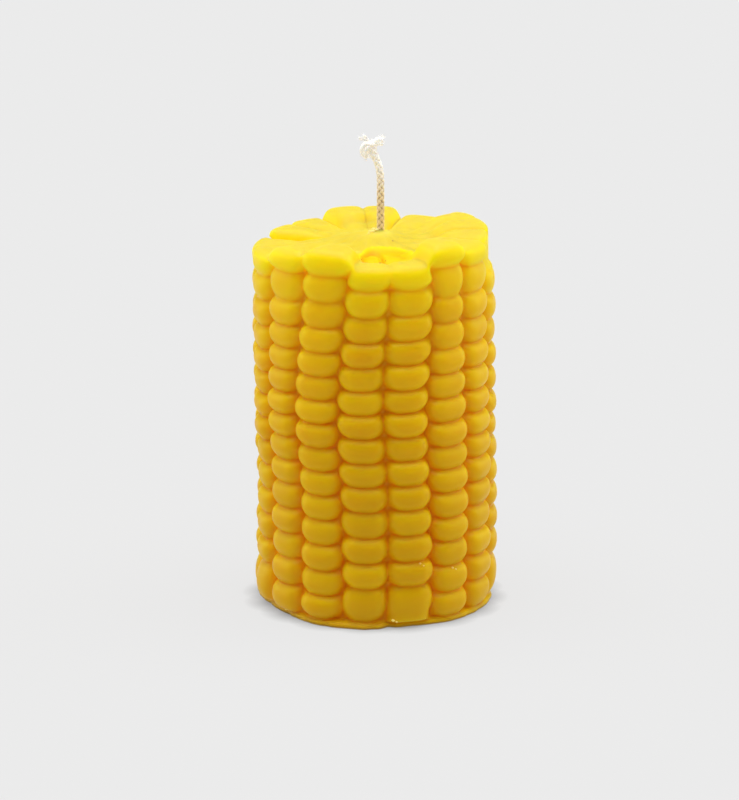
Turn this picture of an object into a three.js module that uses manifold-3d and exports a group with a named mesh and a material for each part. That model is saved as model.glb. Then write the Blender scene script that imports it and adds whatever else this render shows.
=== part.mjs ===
// A candle of yellow beeswax, cast in the shape of a short piece of corn cob that stands upright,
// with a braided cotton wick whose tip is frayed.
//
// Millimetres, +Z up. The origin is the middle of the base, and the front of the candle faces -Y.
// Angles round the candle are degrees from the front, growing towards +X.

import * as THREE from 'three';
import { mergeVertices } from 'three/addons/utils/BufferGeometryUtils.js';
import Module from 'manifold-3d';

// ---- Driving dimensions ----

const crownRadius = 28;        // axis to the crown of a kernel
const kernelDepth = 3;         // crown of a kernel to the bottom of a four-corner pit
const footHeight = 1.5;        // flat rim under the lowest kernels
const wickRadius = 0.88;
const wickGap = 0.35;          // clearance all round the wick in its hole
const wickX = 1.25;            // the wick stands a little to the right of the axis
const wickFootHeight = 86.9;   // wax surface where the wick comes out

// Rows of kernels. They stand in pairs: both rows of a pair are level, and the next pair is half a
// kernel higher or lower. Row 0 is just left of the front, and the rows count towards +X.
const rowCount = 16;
const frontEdge = 5.8;         // degrees, the line between rows 0 and 1
const rowSwell = 2;            // degrees, makes the front rows wider than the back ones
const edgeWander = 0.5;        // degrees, a row's edge is not quite straight
const fullRowKernels = 15;
const kernelPitch = 5.78;      // height of an average kernel
const pitchRipple = 0.85;      // kernels are a little taller at both ends of the cob
const kernelJitter = 0.15;     // random height of a line between two kernels

// How far a row's kernels sit above the even pitch, low, in the middle and high on the row.
const rowDrift = [
  [-1.2, -0.1, 0.2], [-0.9, 0.3, 0.4], [-0.4, -0.3, 0.5], [0.4, 0.2, -0.1],
  [0.3, -0.2, 0.3], [-0.3, 0.4, 0.1], [0.5, 0.1, -0.4], [0.2, -0.5, 0.3],
  [-0.6, 0.2, 0.2], [-0.2, 0.4, -0.3], [0.3, -0.4, 0.2], [-0.5, 0.1, 0.4],
  [0.2, 0.5, -0.2], [-0.3, 0.3, -0.1], [0.5, 0.9, -0.8], [-0.7, 0.1, 0.1],
];
const driftPlaces = [0.17, 0.5, 0.85];
const driftReach = 0.33;

// The lines between rows are not straight: they bow round the cob, by these degrees half way up
// and at the very top. The first value is for the line after row 0.
const middleTurns = [-1.5, -1.2, 0, 0.5, 0, 0.4, -0.5, 0.3, 0.6, -0.4, 0.2, 0.5, -0.6, -2, -3, -2.4];
const topTurns = [2.4, 1.6, -2.5, -3, -2, -3.5, -4, 2, 0, -1.5, -3, -6, 1, 3, 3.8, 4.6];
const middleTurnHeight = 45;
const middleTurnReach = 17;
const topTurnStart = 50;
const topTurnEnd = 85;

// The cob is slightly bent: its lower part stands to the right of its upper part.
const bendSteps = [
  { from: 1.5, to: 10, shift: 0.45 },
  { from: 28, to: 60, shift: -0.8 },
];

// The top of each row, and the radius where its top kernel ends towards the middle.
const rowTops = [
  84.8, 84.9, 89, 87.2, 87.2, 87.8, 87.5, 85, 86.7, 86.7, 84.8, 84.6, 83.4, 84.3, 87, 88.2,
];
// The top kernel of a row stands this far back from the kernels below it.
const topInsets = [0, 0, 0, 0.5, 2, 1.6, 0.4, 0.2, 0, 0, 0.5, 0.8, 0, 0, 0, 0];
const topKernelEnds = [
  20, 20, 14, 14, 15, 15, 16, 17, 18.5, 18.5, 16, 15, 15, 15, 14, 14,
];
// The foot rim's radius under each row: the wax did not fill the mould's edge evenly.
const footRadii = [
  27.6, 25.8, 27, 26.9, 27.1, 26.5, 26.8, 26.3, 26.7, 26.2, 26.6, 27.3, 27.6, 25.3, 25.2, 27.2,
];

// The middle of the top: a low mound round the wick.
const middleHeight = 84.2;
const moundRadius = 8.5;
// A kernel is missing at the top of rows 0 and 1, and its socket is left: deep in row 0.
const socketDepths = [2.2, 0.7];
const socketStart = 10;        // radius of its inner edge
const socketEnd = 20;          // radius of its outer edge

// Where the surface is sampled: across a row, up a kernel, and along the top of a row.
const acrossShares = [0, 0.12, 0.37, 0.63, 0.88];
const upShares = [0, 0.15, 0.5, 0.85];
const pairGroove = 1.4;        // depth of the groove between two pairs on the top
const rowGroove = 0.45;        // depth of the groove between the rows of one pair on the top

// The wick's cord above the wax, and the frayed locks at its tip.
const wickBottom = 0.3;
const wickRoute = [
  [wickX, 0, 96], [wickX, 0, 98], [1.17, 0, 100], [0.95, 0, 101.4], [0.55, 0, 102.9],
  [-0.1, 0, 104.4], [-0.7, 0, 105.8], [-0.85, 0, 107.8],
];
const headRadius = 1.1;
const braidStep = 0.8;         // from one crossing of the braid's yarns to the next
const braidRelief = 0.08;
const tufts = [
  { points: [[-0.7, 0, 106.4], [-1.7, -0.2, 107.4], [-2.6, -0.3, 106.7], [-2.9, -0.3, 105.1]],
    root: 0.85, tip: 0.5 },
  { points: [[-0.8, 0, 106.6], [-1.5, 0, 108.3], [-2.6, -0.1, 109.4]], root: 0.5, tip: 0.2 },
  { points: [[-0.8, 0, 106.6], [-2, 0.1, 108.1], [-3.6, 0.2, 108.8]], root: 0.5, tip: 0.2 },
  { points: [[-0.8, 0, 106.6], [0, 0.1, 107.8], [1, 0.1, 108.1], [2, 0, 107.9]],
    root: 0.85, tip: 0.65 },
  { points: [[-0.8, 0, 106.2], [0.1, -0.1, 107.1], [1, -0.5, 107.3], [1.8, -0.8, 106.8]],
    root: 0.6, tip: 0.25 },
  { points: [[-0.8, 0, 106.4], [-0.9, 0.9, 107.6], [-0.5, 1.9, 107.8]], root: 0.7, tip: 0.3 },
  { points: [[-0.8, 0, 106.4], [-1.1, -0.8, 107.4], [-1.5, -1.6, 107]], root: 0.6, tip: 0.25 },
];

// ---- Small helpers ----

const wasm = await Module();
wasm.setup();

// A repeatable random number between -1 and 1.
let drawState = 4217;
function draw() {
  drawState = (drawState * 48271) % 2147483647;
  return (drawState / 2147483647) * 2 - 1;
}

const radians = THREE.MathUtils.degToRad;
const mix = THREE.MathUtils.lerp;
const wrapRow = (row) => (row + rowCount) % rowCount;

// A closed mesh as a solid that can be joined and cut, and back.
function toSolid(geometry) {
  const bare = geometry.clone();
  bare.deleteAttribute('normal');
  bare.deleteAttribute('uv');
  const merged = mergeVertices(bare, 1e-3);
  const mesh = new wasm.Mesh({
    numProp: 3,
    vertProperties: new Float32Array(merged.attributes.position.array),
    triVerts: new Uint32Array(merged.index.array),
  });
  return new wasm.Manifold(mesh);
}

function toGeometry(solid) {
  const mesh = solid.getMesh();
  const geometry = new THREE.BufferGeometry();
  geometry.setAttribute('position', new THREE.BufferAttribute(mesh.vertProperties, 3));
  geometry.setIndex(new THREE.BufferAttribute(mesh.triVerts, 1));
  geometry.computeVertexNormals();
  return geometry;
}

// ---- Rows and kernels ----

// Even rows of the list above start a pair, and every second pair is half a kernel higher.
const pairOf = (row) => Math.floor(row / 2);
const isRaised = (row) => pairOf(row) % 2 === 0;
const kernelsIn = (row) => (isRaised(row) ? fullRowKernels - 1 : fullRowKernels);

const wanderPhases = Array.from({ length: rowCount }, () => draw() * Math.PI);
const jitters = Array.from({ length: rowCount }, () =>
  Array.from({ length: fullRowKernels }, () => draw() * kernelJitter));

// The angle of the line after a row, at a height.
function edgeAngle(row, height) {
  const even = (360 / rowCount) * row;
  const line = wrapRow(row);
  const wander = edgeWander * Math.sin(height / 9 + wanderPhases[line]);
  const fromMiddle = (height - middleTurnHeight) / middleTurnReach;
  const bow = middleTurns[line] * Math.exp(-(fromMiddle ** 2))
    + topTurns[line] * THREE.MathUtils.smoothstep(height, topTurnStart, topTurnEnd);
  return frontEdge + even + rowSwell * Math.sin(radians(even)) + wander + bow;
}

// How far the cob's own middle is moved sideways at a height.
function bendAt(height) {
  return bendSteps.reduce((sum, { from, to, shift }) => (
    sum + shift * THREE.MathUtils.smoothstep(height, from, to)), 0);
}

// The height of the line under a kernel of a row.
function lineHeight(row, kernel) {
  if (kernel === 0) return footHeight;
  if (kernel === kernelsIn(row)) return rowTops[row];
  const place = isRaised(row) ? kernel + 0.5 : kernel;
  const share = place / fullRowKernels;
  let height = 1.3 + kernelPitch * place + pitchRipple * Math.sin(2 * Math.PI * share);
  driftPlaces.forEach((centre, index) => {
    height += rowDrift[row][index] * Math.max(0, 1 - Math.abs(share - centre) / driftReach);
  });
  return height + jitters[row][kernel];
}

// A pillow with rounded corners: 1 in its middle and 0 past its rim. Both places run from -1 to 1.
function pillow(across, up) {
  const cornerPower = 3;
  const crownPower = 2.2;
  const reach = (Math.abs(across) / 1.04) ** cornerPower + (Math.abs(up) / 1.12) ** cornerPower;
  const distance = reach ** (1 / cornerPower);
  return distance < 1 ? (1 - distance ** crownPower) ** (1 / crownPower) : 0;
}

// ---- The top ----

// The mound that the wick comes out of.
function moundHeight(radius) {
  return middleHeight + (wickFootHeight - middleHeight) * Math.exp(-((radius / moundRadius) ** 2));
}

// Height of the top in a row at a radius: its kernel outside, the mound inside.
function topHeight(row, across, radius) {
  const mound = moundHeight(radius);
  const end = topKernelEnds[row];
  const onKernel = THREE.MathUtils.smoothstep(radius, end - 1, end + 1);
  const kernelTop = rowTops[row] - 0.35 * Math.abs(across) ** 3;
  let height = mix(mound, kernelTop, onKernel);
  if (row < socketDepths.length && radius > socketStart && radius < socketEnd) {
    height -= socketDepths[row] * (1 - across ** 4);
  }
  return height;
}

// Radii of the rings across the top. Rows with one kernel less have four more rings there.
function topRadii(row) {
  const rim = 26.2 - topInsets[row];
  const outside = topKernelEnds[row] + 1.2;
  const inside = topKernelEnds[row] - 1;
  if (!isRaised(row)) return [rim, 22, outside, inside, 9, 4.5, 0];
  const between = [0.84, 0.68, 0.53, 0.42].map((share) => share * inside);
  return [rim, rim - 1.2, rim - 2.7, outside, inside, ...between, 4, 0];
}

// ---- The wax body ----

const footRings = 3;
const ringCount = footRings + fullRowKernels * upShares.length + topRadii(2).length;

// Radius and height of the surface in a row, on a ring counted from the base. Across runs from
// -1 to 1.
function rowPoint(row, across, ring) {
  if (ring < footRings) {
    const neighbour = wrapRow(row + Math.sign(across));
    const rim = mix(footRadii[row], footRadii[neighbour], Math.abs(across) / 2);
    return [[rim - 0.3, 0], [rim, 0.35], [rim - 0.1, 1]][ring];
  }
  const level = ring - footRings;
  const kernel = Math.floor(level / upShares.length);
  if (kernel < kernelsIn(row)) {
    const share = upShares[level % upShares.length];
    const height = mix(lineHeight(row, kernel), lineHeight(row, kernel + 1), share);
    const inset = kernel === kernelsIn(row) - 1 && share > 0 ? topInsets[row] : 0;
    return [crownRadius - inset - kernelDepth * (1 - pillow(across, 2 * share - 1)), height];
  }
  const radius = topRadii(row)[level - kernelsIn(row) * upShares.length];
  return [radius, topHeight(row, across, radius)];
}

// The line between two rows lies halfway between them, in a groove where it crosses the top.
function edgePoint(row, ring) {
  const left = rowPoint(row, 1, ring);
  const right = rowPoint(wrapRow(row + 1), -1, ring);
  const radius = (left[0] + right[0]) / 2;
  const height = (left[1] + right[1]) / 2;
  const onTop = ring >= ringCount - topRadii(2).length && radius > moundRadius;
  const groove = pairOf(row) === pairOf(wrapRow(row + 1)) ? rowGroove : pairGroove;
  return [radius, height - (onTop ? groove : 0)];
}

function makeWaxBody() {
  const profile = [new THREE.Vector2(0, 0)];
  for (let ring = 0; ring < ringCount; ring += 1) {
    const [radius, height] = rowPoint(2, 0, ring);
    profile.push(new THREE.Vector2(radius, height));
  }
  const segments = rowCount * acrossShares.length;
  const geometry = new THREE.LatheGeometry(profile, segments);
  const position = geometry.attributes.position;
  for (let segment = 0; segment <= segments; segment += 1) {
    const row = wrapRow(Math.floor(segment / acrossShares.length));
    const share = acrossShares[segment % acrossShares.length];
    for (let ring = 0; ring < ringCount; ring += 1) {
      const before = wrapRow(row - 1);
      const [radius, height] = share === 0
        ? edgePoint(before, ring) : rowPoint(row, 2 * share - 1, ring);
      const angle = radians(mix(edgeAngle(row - 1, height), edgeAngle(row, height), share));
      const vertex = segment * profile.length + ring + 1;
      const x = radius * Math.sin(angle) + bendAt(height);
      position.setXYZ(vertex, x, -radius * Math.cos(angle), height);
    }
    position.setXYZ(segment * profile.length, 0, 0, 0);
  }
  return toSolid(geometry);
}

function makeWickHole() {
  const sides = 16;
  const height = 120;
  const hole = new THREE.CylinderGeometry(wickRadius + wickGap, wickRadius + wickGap, height, sides);
  hole.rotateX(Math.PI / 2);
  hole.translate(wickX, 0, height / 2 - 10);
  return toSolid(hole);
}

// ---- The wick ----

// A round strand along a curve, closed at both ends. Shares are places along the curve's length,
// and radiusAt gives the radius at a share and an angle round the strand.
function makeStrand(curve, shares, sides, radiusAt) {
  const profile = [0, ...shares, 1].map((share) => new THREE.Vector2(wickRadius, share));
  const geometry = new THREE.LatheGeometry(profile, sides);
  const position = geometry.attributes.position;
  const sideways = new THREE.Vector3(0, 1, 0);
  for (let side = 0; side <= sides; side += 1) {
    const turn = (2 * Math.PI * (side % sides)) / sides;
    profile.forEach((point, ring) => {
      const isEnd = ring === 0 || ring === profile.length - 1;
      const share = point.y;
      const tangent = curve.getTangentAt(share);
      const across = new THREE.Vector3().crossVectors(sideways, tangent).normalize();
      const back = new THREE.Vector3().crossVectors(tangent, across);
      const radius = isEnd ? 0 : radiusAt(share, turn);
      const vertex = curve.getPointAt(share)
        .addScaledVector(across, radius * Math.cos(turn))
        .addScaledVector(back, radius * Math.sin(turn));
      position.setXYZ(side * profile.length + ring, vertex.x, vertex.y, vertex.z);
    });
  }
  return toSolid(geometry);
}

const vector = (point) => new THREE.Vector3(...point);

// The cord stands straight in its hole and leans to the left above the wax.
function makeWickStem() {
  const curve = new THREE.CurvePath();
  const bend = wickRoute.map(vector);
  curve.add(new THREE.LineCurve3(new THREE.Vector3(wickX, 0, wickBottom), bend[0]));
  curve.add(new THREE.CatmullRomCurve3(bend));
  curve.arcLengthDivisions = 2000;
  const length = curve.getLength();
  const hidden = wickFootHeight - 1 - wickBottom;
  const shares = [0.0005, hidden / length];
  for (let place = hidden + braidStep / 2; place < length - 0.3; place += braidStep / 2) {
    shares.push(place / length);
  }
  shares.push(1 - 0.15 / length);
  return makeStrand(curve, shares, 12, (share, turn) => {
    const place = share * length;
    const opened = THREE.MathUtils.smoothstep(place, length - 5, length - 1);
    const rounded = Math.sqrt(Math.min(1, (length - place) / 0.6));
    const crossing = Math.cos(3 * turn) * Math.cos((Math.PI * (place - hidden)) / braidStep);
    const relief = place > hidden ? braidRelief * crossing : 0;
    return (mix(wickRadius, headRadius, opened) + relief) * rounded;
  });
}

// A lock of loose fibres at the tip: a strand that thins towards its end.
function makeTuft({ points, root, tip }) {
  const curve = new THREE.CatmullRomCurve3(points.map(vector));
  return makeStrand(curve, [0.04, 0.3, 0.6, 0.85, 0.97], 8, (share) => mix(root, tip, share));
}

function makeWick() {
  return tufts.reduce((wick, tuft) => wick.add(makeTuft(tuft)), makeWickStem());
}

// ---- The candle ----

function makePiece(name, solid, color, roughness) {
  const material = new THREE.MeshStandardMaterial({ color, roughness, metalness: 0 });
  const piece = new THREE.Mesh(toGeometry(solid), material);
  piece.name = name;
  return piece;
}

const candle = new THREE.Group();
candle.add(makePiece('wax_body', makeWaxBody().subtract(makeWickHole()), 0xe0a90c, 0.45));
candle.add(makePiece('wick', makeWick(), 0xece2cf, 0.9));

export default candle;
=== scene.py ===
# %% [markdown]
# # A candle cast as a short corn cob
# The candle has two pieces: one body of yellow beeswax, cast with rows of kernels all round it,
# and a braided cotton wick that runs through it and frays at its tip. The solids in the frame
# carry their sizes, and this script gives each one its finished surface. Every length below is
# in millimetres until a piece is finished, when its mesh is scaled to metres.

# %% Load the frame
import bisect
import functools
import math

import bmesh
import bpy
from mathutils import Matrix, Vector, noise


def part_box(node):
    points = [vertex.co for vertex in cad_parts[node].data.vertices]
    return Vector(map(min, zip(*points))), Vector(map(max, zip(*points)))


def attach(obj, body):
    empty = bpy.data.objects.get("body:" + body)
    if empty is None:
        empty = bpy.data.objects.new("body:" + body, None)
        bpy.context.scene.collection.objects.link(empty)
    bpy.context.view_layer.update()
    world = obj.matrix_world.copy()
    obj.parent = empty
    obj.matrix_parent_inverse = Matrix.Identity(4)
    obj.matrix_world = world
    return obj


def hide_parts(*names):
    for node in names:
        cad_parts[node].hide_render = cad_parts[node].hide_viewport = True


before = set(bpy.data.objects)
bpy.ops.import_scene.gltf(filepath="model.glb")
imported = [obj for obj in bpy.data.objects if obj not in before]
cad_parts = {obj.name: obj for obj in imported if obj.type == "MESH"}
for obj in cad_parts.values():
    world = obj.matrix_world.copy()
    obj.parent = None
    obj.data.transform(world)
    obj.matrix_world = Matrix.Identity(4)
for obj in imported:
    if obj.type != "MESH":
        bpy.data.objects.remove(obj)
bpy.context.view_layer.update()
MM = 0.001
wax_low, wax_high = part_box("wax_body")
print("wax solid", [round(side / MM, 1) for side in wax_high - wax_low], "mm")

# %% [markdown]
# ## Small sums
# A few helpers mix, fade and crowd numbers. Crowding moves evenly spaced shares towards both
# ends of their range, so that mesh lines gather where a kernel turns down into its groove.
# The random draws come from one short formula with a fixed seed, so every run is the same.

# %% Small sums
RADIANS = math.pi / 180


def mix(start, end, share):
    return start + (end - start) * share


def fade(low, high, value):
    share = min(1.0, max(0.0, (value - low) / (high - low)))
    return share * share * (3 - 2 * share)


def crowd(share, amount):
    return share - amount * math.sin(2 * math.pi * share) / (2 * math.pi)


class Draws:
    """Repeatable random numbers between -1 and 1."""

    def __init__(self, seed):
        self.state = seed

    def next(self):
        self.state = self.state * 48271 % 2147483647
        return self.state / 2147483647 * 2 - 1


# %% [markdown]
# ## Rows of kernels
# The cob has 16 rows, and they stand in pairs. Both rows of a pair are level, and each next
# pair is half a kernel higher or lower, as on a real ear of corn. Row 0 is just left of the
# front. A rule gives every groove its height: an even pitch, a ripple that makes the kernels
# taller at both ends, a slow drift along each row and a small random step. The lines between
# the rows bow and turn as they climb, and at the top of the front two raised kernels bulge over
# their lower neighbours.

# %% Sizes of the cob
CROWN_RADIUS = 28.0
KERNEL_DEPTH = 3.0
FOOT_HEIGHT = 1.5
ROW_COUNT = 16
FRONT_EDGE = 5.8
ROW_SWELL = 2.0
EDGE_WANDER = 0.5
EDGE_WAVE = 9
FULL_ROW_KERNELS = 15
KERNEL_PITCH = 5.78
PITCH_RIPPLE = 0.85
KERNEL_JITTER = 0.15
FIRST_LINE = 1.3

ROW_DRIFT = [
    (-1.2, -0.1, 0.2), (-0.9, 0.3, 0.4), (-0.4, -0.3, 0.5), (0.4, 0.2, -0.1),
    (0.3, -0.2, 0.3), (-0.3, 0.4, 0.1), (0.5, 0.1, -0.4), (0.2, -0.5, 0.3),
    (-0.6, 0.2, 0.2), (-0.2, 0.4, -0.3), (0.3, -0.4, 0.2), (-0.5, 0.1, 0.4),
    (0.2, 0.5, -0.2), (-0.3, 0.3, -0.1), (0.5, 0.9, -0.8), (-0.7, 0.1, 0.1),
]
DRIFT_PLACES = (0.17, 0.5, 0.85)
DRIFT_REACH = 0.33
# Degrees by which the line after each row bows half way up the cob, and turns at its top.
MIDDLE_TURNS = [
    -1.5, -1.2, 0, 0.5, 0, 0.4, -0.5, 0.3, 0.6, -0.4, 0.2, 0.5, -0.6, -2, -3, -2.4,
]
TOP_TURNS = [2.4, 1.6, -2.5, -3, -2, -3.5, -4, 2, 0, -1.5, -3, -6, 1, 3, 3.8, 4.6]
MIDDLE_TURN_HEIGHT = 45
MIDDLE_TURN_REACH = 17
TOP_TURN_START = 50
TOP_TURN_END = 85
# Lines where a raised top kernel bulges over its shorter neighbour, with the turn.
BULGE_TURNS = {15: 3.2, 1: -2.8}
BULGE_START = 80.0
BULGE_END = 84.5
# The lower part of the cob stands to the right of its upper part: (from, to, shift).
BEND_STEPS = [(1.5, 10, 0.45), (28, 60, -0.8)]
# Rows whose top kernel starts higher than the even pitch gives.
TOP_LINE_SHIFTS = {2: 1.3, 3: 0.7, 14: 0.6, 15: 0.4}
ROW_TOPS = [
    84.8, 84.9, 89, 87.2, 87.2, 87.8, 87.5, 85, 86.7, 86.7, 84.8, 84.6, 83.4, 84.3, 87, 88.2,
]

SEED = 4217
draws = Draws(SEED)
wander_phases = [draws.next() * math.pi for _ in range(ROW_COUNT)]
jitters = [
    [draws.next() * KERNEL_JITTER for _ in range(FULL_ROW_KERNELS)] for _ in range(ROW_COUNT)
]


def is_raised(row):
    return row // 2 % 2 == 0


def kernels_in(row):
    return FULL_ROW_KERNELS - 1 if is_raised(row) else FULL_ROW_KERNELS


def line_height(row, kernel):
    """Height of the groove under a kernel of a row."""
    if kernel == 0:
        return FOOT_HEIGHT
    if kernel == kernels_in(row):
        return ROW_TOPS[row]
    place = kernel + 0.5 if is_raised(row) else kernel
    share = place / FULL_ROW_KERNELS
    height = FIRST_LINE + KERNEL_PITCH * place + PITCH_RIPPLE * math.sin(2 * math.pi * share)
    for centre, drift in zip(DRIFT_PLACES, ROW_DRIFT[row]):
        height += drift * max(0.0, 1 - abs(share - centre) / DRIFT_REACH)
    if kernel == kernels_in(row) - 1:
        height += TOP_LINE_SHIFTS.get(row, 0)
    return height + jitters[row][kernel]


LINES = [
    [line_height(row, kernel) for kernel in range(kernels_in(row) + 1)]
    for row in range(ROW_COUNT)
]


def edge_angle(row, height):
    """Angle of the line after a row, in degrees from the front."""
    even = 360 / ROW_COUNT * row
    line = row % ROW_COUNT
    wander = EDGE_WANDER * math.sin(height / EDGE_WAVE + wander_phases[line])
    from_middle = (height - MIDDLE_TURN_HEIGHT) / MIDDLE_TURN_REACH
    wander += MIDDLE_TURNS[line] * math.exp(-(from_middle ** 2))
    wander += TOP_TURNS[line] * fade(TOP_TURN_START, TOP_TURN_END, height)
    wander += BULGE_TURNS.get(line, 0) * fade(BULGE_START, BULGE_END, height)
    return FRONT_EDGE + even + ROW_SWELL * math.sin(even * RADIANS) + wander


def bend_at(height):
    """How far the cob's middle is moved sideways at a height."""
    return sum(shift * fade(start, end, height) for start, end, shift in BEND_STEPS)


print("kernels", sum(kernels_in(row) for row in range(ROW_COUNT)))

# %% [markdown]
# ## The shape of one kernel
# A cast kernel is a soft pillow with a round cap at each end. Its swell is 1 on the crown and 0
# in the deepest pit. The caps at the outside of a pair are rounder than the two that meet in
# the middle of it, and the lower corners are rounder than the upper ones, because the kernels
# sag a little. Where two pillows meet, the higher one is kept. Each kernel also stands slightly
# further out or in than its neighbours, and leans a little. A top kernel is only rounded at its
# foot, because the top's own edge closes it above.

# %% Kernel pillows
HALF_WIDTH = math.pi * CROWN_RADIUS / ROW_COUNT
OUTER_CAP = 4.1
INNER_CAP = 3.6
CAP_FUSE = 1.03
LINE_FUSE = 1.12
UPPER_CORNER = 2.5
LOWER_CORNER = 2.0
CROWN_POWER = 2.15
SAG = 0.42
SAG_RUN_OUT = 5
# A top kernel stays full above the level where scale * up + shift reaches 0.
TOP_KERNEL_SCALE = 1.4
TOP_KERNEL_SHIFT = 0.4
STAND_OUT = 0.24
LEAN = 0.16
# The lowest kernel of one row runs straight down into the foot, and two have a round chin.
SQUARE_FOOT_ROW = 1
SQUARE_FOOT_LEVEL = -0.55
ROUND_FOOT_ROWS = (0, 15)
ROUND_FOOT_CAP = 5.2
ROUND_FOOT_LEVEL = 0.7
# Rows beside the front pair, whose top kernels have squarer lower corners.
SQUARE_TOP_ROWS = (2, 3, 14, 15)
SQUARE_TOP_CAP = 2.6


def draw_for_kernels(size):
    """A random number for every kernel, between minus and plus a size."""
    return [[draws.next() * size for _ in range(FULL_ROW_KERNELS)] for _ in range(ROW_COUNT)]


kernel_swell = draw_for_kernels(STAND_OUT)
kernel_lean = draw_for_kernels(LEAN)


def sag_at(row, across, height):
    """How far a groove is lifted towards the sides of its row."""
    to_end = min(height - FOOT_HEIGHT, ROW_TOPS[row] - height)
    return SAG * across * across * max(0.0, min(1.0, to_end / SAG_RUN_OUT))


def pillow(row, kernel, across, up):
    """Swell of a kernel. Across and up run from -1 to 1 over it."""
    is_outer = (across < 0) == (row % 2 == 0)
    cap = OUTER_CAP if is_outer else INNER_CAP
    if kernel == 0 and row in ROUND_FOOT_ROWS:
        cap += (ROUND_FOOT_CAP - cap) * fade(0, ROUND_FOOT_LEVEL, -up)
    if kernel == kernels_in(row) - 1 and row in SQUARE_TOP_ROWS:
        cap = SQUARE_TOP_CAP
    past_cap = max(0.0, abs(across) * HALF_WIDTH - (HALF_WIDTH - cap)) / cap / CAP_FUSE
    if kernel == kernels_in(row) - 1:
        up = min(0.0, TOP_KERNEL_SCALE * up + TOP_KERNEL_SHIFT)
    if kernel == 0 and row == SQUARE_FOOT_ROW:
        up = max(SQUARE_FOOT_LEVEL, up)
    past_line = abs(up) / LINE_FUSE
    corner = UPPER_CORNER if up > 0 else LOWER_CORNER
    distance = (past_cap ** corner + past_line ** corner) ** (1 / corner)
    return (1 - distance ** CROWN_POWER) ** (1 / CROWN_POWER) if distance < 1 else 0.0


def swell_at(row, across, height):
    """Swell of the row at a height, and the kernel's own extra radius there."""
    level = height - sag_at(row, across, height)
    lines = LINES[row]
    kernel = min(max(bisect.bisect_right(lines, level) - 1, 0), len(lines) - 2)
    up = 2 * (level - lines[kernel]) / (lines[kernel + 1] - lines[kernel]) - 1
    up = min(1.0, max(-1.0, up))
    swell = pillow(row, kernel, across, up)
    return swell, swell * (kernel_swell[row][kernel] + kernel_lean[row][kernel] * up)


print("kernel half width", round(HALF_WIDTH, 2), "mm, swell at a line",
      round(pillow(0, 5, 0, 1), 2))

# %% [markdown]
# ## The top
# Each row ends in a top kernel whose upper face runs in towards the middle like a wedge, and
# the wax in the middle rises in a low mound round the wick. The rows end at different heights,
# so the taller ones show a wall at their sides and at their inner ends. Behind the low pair at
# the front lies a wide, shallow hollow. A deeper ring in it is the socket of a lost kernel, with
# a nub of wax left in its middle.

# %% Sizes and heights of the top
# Radius where each row's top kernel ends towards the middle, and how far that end is curved.
TOP_KERNEL_ENDS = [20, 20, 18.5, 15, 15, 15, 16, 17, 18.5, 18.5, 16, 15, 15, 15, 14, 17]
END_CURVE = 1.4
# How far a row's top kernel stands back from the kernels below it.
TOP_INSETS = [0, 0, 0, 0.5, 1.6, 1, 0, 0.2, 0, 0, 0.5, 0.8, 0, 0, 0, 0]
INSET_RISE = 1.2
# Rows whose top kernel runs out gently towards the middle, instead of ending in a wall.
GENTLE_ROWS = (4, 5, 6, 7, 12, 13, 14, 15)
GENTLE_SLOPE = 3.2
WALL_SLOPE = 1.1
# The top starts to climb this far inside the end of a kernel, by this share of the rise.
EARLY_RISE = 8
EARLY_SHARE = 0.3
SIDE_DROP = 0.35
MIDDLE_HEIGHT = 84.2
WICK_FOOT_HEIGHT = 86.9
MOUND_RADIUS = 8.5
# The wide hollow behind the front pair: middle, half sizes and depth.
HOLLOW_MIDDLE = (3.0, -14.6)
HOLLOW_SIZE = (6.5, 7.2)
HOLLOW_DEPTH = 0.5
# The socket of the lost kernel in it, with the nub that is left inside.
SOCKET_MIDDLE = (-0.2, -15.3)
SOCKET_SIZE = (3.0, 6.8)
SOCKET_DEPTH = 0.8
NUB_REACH = 0.5
# Painted shade in the socket's ring, through the swell, and in the hollow, through the paleness.
SOCKET_SHADE = 0.6
HOLLOW_SHADE = 0.95
# The painted light round the wick, which lifts the shade of the wick and its hole, and the radii
# where it starts to fade and ends.
WICK_PAINTED_LIGHT = 0.8
WICK_LIGHT_REACH = (0.5, 6)
# Depth of the grooves on the top, between two pairs and inside a pair.
PAIR_GROOVE = 1.4
ROW_GROOVE = 0.45
GROOVE_FADE = 9
# Lines where the wax has filled the groove of the top.
FILLED_LINES = {15: -0.3, 1: -0.5}
# Radius of the round edge between the side and the top of each row.
TOP_EDGES = [2.6, 2.6, 2.4, 2.2, 1.6, 1.6, 1.6, 1.6, 1.6, 1.6, 1.6, 1.6, 1.6, 2.0, 2.4, 2.4]
# How full a raised row's side is where it stands bare over its neighbour, and the heights from
# the neighbour's top between which it fills.
BARED_FILL = 0.7
BARED_ZONE = (-1.5, 1.0)
# The upper grooves are a little shallower, and more so beside the top kernels.
UPPER_FILL = 0.22
UPPER_FILL_ZONE = (50, 80)
TOP_FILL = 0.3
TOP_FILL_ZONE = (0.3, 2.5)
WALL_ROUNDING = 2.4
# Height of the lumps in the skin, which calm down between two radii to a share of it. Fine
# lumps ride on broad ones, at a share of their height.
LUMP_HEIGHT = 0.35
BROAD_LUMPS = 0.33
FINE_LUMPS = 0.9
FINE_SHARE = 0.5
LUMP_CALM = (12, 24)
LUMP_CALM_SHARE = 0.35
# Painted light on the top three kernels of a row, which the light from above passes into, and the
# paleness of all the others, give or take a random step.
PALE_STEPS = (0.97, 0.48, 0.15)
KERNEL_TONE = 0.07


def mound_height(radius):
    rise = WICK_FOOT_HEIGHT - MIDDLE_HEIGHT
    return MIDDLE_HEIGHT + rise * math.exp(-((radius / MOUND_RADIUS) ** 2))


def oval_reach(x, y, middle, size, power=2):
    """Distance from the middle of an oval, which is 1 on its edge. More power squares it."""
    across = abs(x - middle[0]) / size[0]
    along_y = abs(y - middle[1]) / size[1]
    return (across ** power + along_y ** power) ** (1 / power)


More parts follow.
